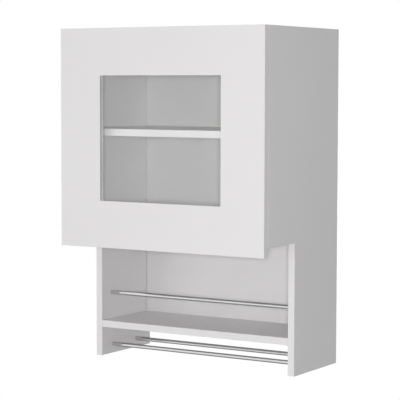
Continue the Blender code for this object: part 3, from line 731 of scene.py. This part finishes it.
cupShape = {
    "sides": 96, "outer": 17.2 * mm, "inner": 16.2 * mm, "floorRound": 1.5 * mm, "floorSteps": 4,
    "rim": 19.4 * mm, "wingReach": 26.0 * mm, "wingHalf": 8.0 * mm,
    "flangeThickness": 0.8 * mm, "flangeRound": 0.35 * mm, "screwInset": 6.0 * mm,
}
cupScrew = {
    "radius": 3.4 * mm, "rings": 20, "sides": 64, "edge": 0.10 * mm, "rise": 0.35 * mm, "soften": 0.25 * mm,
    "slotWidth": 0.9 * mm, "slotLength": 4.0 * mm, "slotDepth": 0.55 * mm,
}
plateScrew = dict(cupScrew, radius=4.0 * mm, edge=0.4 * mm, rise=1.2 * mm,
                  slotLength=4.6 * mm, slotDepth=1.1 * mm)
armScrew = dict(cupScrew, radius=3.0 * mm, edge=0.3 * mm, rise=0.6 * mm,
                slotLength=3.8 * mm, slotDepth=0.7 * mm)
screwPlaces = {
    "plateWing": 2.0 * mm,               # thickness of the plate's wings
    "plateFront": 10.0 * mm,             # from the plate's front edge
    "plateSpacing": 32.0 * mm,           # from one wing's screw to the other's
    "armWeb": 25.0 * mm,                 # from the side board's outer face to the top of the arm's web
    "armTail": (8.0 * mm, 26.0 * mm),    # from the arm's rear end
}
stampedParts = {
    "Arm": {"node": "arm", "body": "carcass", "round": 0.35 * mm},
    "Plate": {"node": "plate", "body": "carcass", "round": 0.5 * mm},
    "OuterLink": {"node": "outer_link", "body": "hinge_links_outer", "round": 0.3 * mm},
    "InnerLink": {"node": "inner_link", "body": "hinge_links_inner", "round": 0.3 * mm},
}


def wingedRadius(angle, leastSide=1e-6):
    # distance from the cup's middle to the flange's edge: the round rim, or the capsule of the two wings
    # where that reaches further; the capsule's edge is its straight side or its round end
    side = np.abs(np.cos(angle))
    along = np.abs(np.sin(angle))
    half, reach = cupShape["wingHalf"], cupShape["wingReach"] - cupShape["wingHalf"]
    straight = half / np.maximum(side, leastSide)
    end = reach * along + np.sqrt(np.maximum(half ** 2 - (reach * side) ** 2, 0))
    capsule = np.where(straight * along <= reach, straight, end)
    return np.maximum(cupShape["rim"], capsule)


def flangeSurface(middle, top):
    # a flat ring from the cup's wall to the winged edge, with a small arris on the side that shows
    angle = fullTurn(cupShape["sides"])
    edge = wingedRadius(angle)
    inner = np.full_like(angle, cupShape["outer"])
    back, arris = top - cupShape["flangeThickness"], cupShape["flangeRound"]
    radii = np.stack([inner, edge, edge, edge - arris, inner])
    outs = np.array([back, back, top - arris, top, top])[:, None]
    return shell(placed(middle[0] + radii * np.cos(angle), middle[1] + radii * np.sin(angle), outs, "xzy"),
                 closed=True)


def bowlSurface(middle, floor, top):
    # a turned bowl: floor, outer corner, wall and rim, then the same way back inside
    turn = quarterTurn(cupShape["floorSteps"])
    outer, inner, corner = cupShape["outer"], cupShape["inner"], cupShape["floorRound"]
    wall = outer - inner
    radii = np.concatenate([[0], outer - corner * (1 - np.sin(turn)), [outer],
                            [inner], inner - corner * (1 - np.cos(turn)), [0]])
    outs = np.concatenate([[floor], floor + corner * (1 - np.cos(turn)), [top, top],
                           floor + wall + corner * (1 - np.sin(turn)), [floor + wall]])
    return turned(radii, outs, middle, "xzy", cupShape["sides"])


def cupSurfaces(node):
    # the flange, the bowl and a screw head on each wing
    middle, (floor, top) = middleOf(node, "xz"), span(node, "y")
    reach = cupShape["wingReach"] - cupShape["screwInset"]
    screws = [crossHead((middle[0], middle[1] + direction * reach), top, 1, "xzy", cupScrew)
              for direction in (-1, 1)]
    return [flangeSurface(middle, top), bowlSurface(middle, floor, top)] + screws


def mountScrews(plate, arm):
    # a head on the plate's wing above and below the arm, and two along the arm's web
    height = middleOf(plate, "z")[0]
    wingTop = span(plate, "x")[0] + screwPlaces["plateWing"]
    wingMiddle = span(plate, "y")[0] + screwPlaces["plateFront"]
    web = span("left_side_panel", "x")[0] + screwPlaces["armWeb"]
    tail = span(arm, "y")[1]
    onPlate = [(wingMiddle, height + direction * screwPlaces["plateSpacing"] / 2) for direction in (-1, 1)]
    onArm = [(tail - inset, height) for inset in screwPlaces["armTail"]]
    return ([crossHead(place, wingTop, 1, "yzx", plateScrew) for place in onPlate]
            + [crossHead(place, web, 1, "yzx", armScrew) for place in onArm])


for hinge in hinges:
    label, prefix = hinge + "Hinge", hinge + "_hinge_"
    addPiece(label + "Cup", cupSurfaces(prefix + "cup"), nickel, "door", [prefix + "cup"])
    for ending, part in stampedParts.items():
        addStamped(label + ending, prefix + part["node"], nickel, part["body"], part["round"])
    addPiece(label + "Screws", mountScrews(prefix + "plate", prefix + "arm"), zinc, "carcass")
print("hinges made")


# Camera, solved from the straight edges in the photograph

cameraView = {
    "place": (1.7710, -3.0118, -0.0705), "yaw": 31.827, "pitch": -4.173, "roll": 0.105,
    "lens": 140.82, "sensor": 36.0, "farthest": 60.0,
}


def stand(thing, place, axes):
    # links a camera or a lamp to the scene, at its place and along its three axes
    bpy.context.scene.collection.objects.link(thing)
    turnMatrix = Matrix(np.stack(axes, axis=1).tolist())
    thing.matrix_world = Matrix.Translation(place) @ turnMatrix.to_4x4()


def addCamera(view):
    # the axes are worked out from yaw to the left, pitch upwards and roll about the line of sight
    yaw, pitch, roll = (math.radians(view[key]) for key in ("yaw", "pitch", "roll"))
    sight = np.array([-math.sin(yaw) * math.cos(pitch), math.cos(yaw) * math.cos(pitch), math.sin(pitch)])
    level = np.array([math.cos(yaw), math.sin(yaw), 0.0])
    upright = np.cross(level, sight)
    right = math.cos(roll) * level + math.sin(roll) * upright
    up = np.cross(right, sight)
    data = bpy.data.cameras.new("photoCamera")
    data.lens = view["lens"]
    data.sensor_width = view["sensor"]
    data.clip_end = view["farthest"]
    camera = bpy.data.objects.new("photoCamera", data)
    stand(camera, view["place"], [right, up, -sight])
    bpy.context.scene.camera = camera


addCamera(cameraView)


# Studio: white surroundings, a pale floor well below the cabinet, soft lamps.
# The main lamp stands at the camera, so that what it throws into shadow is out of sight.

studio = {
    "ambient": 0.345, "white": (1, 1, 1, 1), "floorDrop": 2.2, "floorHalf": 9.0,
    "floorPale": (0.44, 0.44, 0.44, 1), "floorFade": (1.8, 5.0), "floorMatt": 0.9, "floorSpecular": 0.1,
}
lamps = {
    "mainLamp": {"azimuth": 31.8, "elevation": 3.9, "distance": 3.5, "size": 0.22, "power": 46.5},
    "frontLamp": {"azimuth": 0.0, "elevation": 0.0, "distance": 4.0, "size": 4.0, "power": 25.5},
    "leftFrontLamp": {"azimuth": -30.0, "elevation": -8.0, "distance": 4.0, "size": 2.2, "power": 27.0},
    "leftRearLamp": {"azimuth": -115.0, "elevation": 0.0, "distance": 4.0, "size": 2.5, "power": 30.0},
    "topLamp": {"azimuth": 0.0, "elevation": 90.0, "distance": 4.0, "size": 2.0, "power": 30.0},
    "rearLamp": {"azimuth": -165.0, "elevation": 0.0, "distance": 4.0, "size": 2.5, "power": 40.0},
}


def seenDirectly(tree):
    # 1 for rays from the camera, from gloss and through glass, 0 for soft light
    path = addNode(tree, "ShaderNodeLightPath").outputs
    first = reckon(tree, "MAXIMUM", path["Is Camera Ray"], path["Is Glossy Ray"])
    return reckon(tree, "MAXIMUM", first, path["Is Transmission Ray"])


def addWorld():
    # white where it is seen, and a weaker white as soft light
    world = bpy.data.worlds.new("studioSurroundings")
    world.use_nodes = True
    tree = world.node_tree
    soft = tree.nodes["Background"]
    soft.inputs["Color"].default_value = studio["white"]
    soft.inputs["Strength"].default_value = studio["ambient"]
    seen = addNode(tree, "ShaderNodeBackground", {"Color": studio["white"], "Strength": 1.0})
    surface = mixShader(tree, seenDirectly(tree), soft.outputs[0], seen.outputs[0])
    tree.links.new(surface, tree.nodes["World Output"].inputs["Surface"])
    bpy.context.scene.world = world


def addFloor():
    # a flat square whose own colour passes into white with the distance from its middle
    half, height = studio["floorHalf"], cadBox[0][2] - studio["floorDrop"]
    corners = rectangle((-half, -half), (half, half))
    points = placed(corners[:, 0], corners[:, 1], height, "xyz")
    mesh = bpy.data.meshes.new("studioFloor")
    mesh.from_pydata(points.tolist(), [], [list(range(len(points)))])
    constants = {"Base Color": studio["floorPale"], "Roughness": studio["floorMatt"],
                 "Specular IOR Level": studio["floorSpecular"]}
    material, tree, shader = newFinish("studioFloor", constants)
    place = addNode(tree, "ShaderNodeTexCoord").outputs["Object"]
    flat = addNode(tree, "ShaderNodeVectorMath", {0: place, 1: (1, 1, 0)}, operation="MULTIPLY").outputs[0]
    away = addNode(tree, "ShaderNodeVectorMath", {0: flat}, operation="LENGTH").outputs["Value"]
    faded = spread(tree, away, 0.0, 1.0, *studio["floorFade"])
    factor = reckon(tree, "MULTIPLY", faded, seenDirectly(tree))
    white = addNode(tree, "ShaderNodeEmission", {"Color": studio["white"], "Strength": 1.0})
    surface = mixShader(tree, factor, shader.outputs[0], white.outputs[0])
    tree.links.new(surface, tree.nodes["Material Output"].inputs["Surface"])
    mesh.materials.append(material)
    floor = bpy.data.objects.new("studioFloor", mesh)
    bpy.context.scene.collection.objects.link(floor)


def addLamp(name, lamp):
    # azimuth 0 stands in front of the door and grows to the right, as seen from the front
    azimuth, rise = math.radians(lamp["azimuth"]), math.radians(lamp["elevation"])
    away = np.array([math.sin(azimuth) * math.cos(rise), -math.cos(azimuth) * math.cos(rise), math.sin(rise)])
    level = np.array([math.cos(azimuth), math.sin(azimuth), 0.0])
    aim = 0.5 * (np.array(cadBox[0]) + np.array(cadBox[1]))
    data = bpy.data.lights.new(name, "AREA")
    data.size = lamp["size"]
    data.energy = lamp["power"]
    light = bpy.data.objects.new(name, data)
    stand(light, (aim + lamp["distance"] * away).tolist(), [level, np.cross(away, level), away])
    light.visible_camera = False
    light.visible_glossy = False


addWorld()
addFloor()
for lampName, lamp in lamps.items():
    addLamp(lampName, lamp)
bpy.context.scene.view_settings.view_transform = "Standard"
print("studio ready")
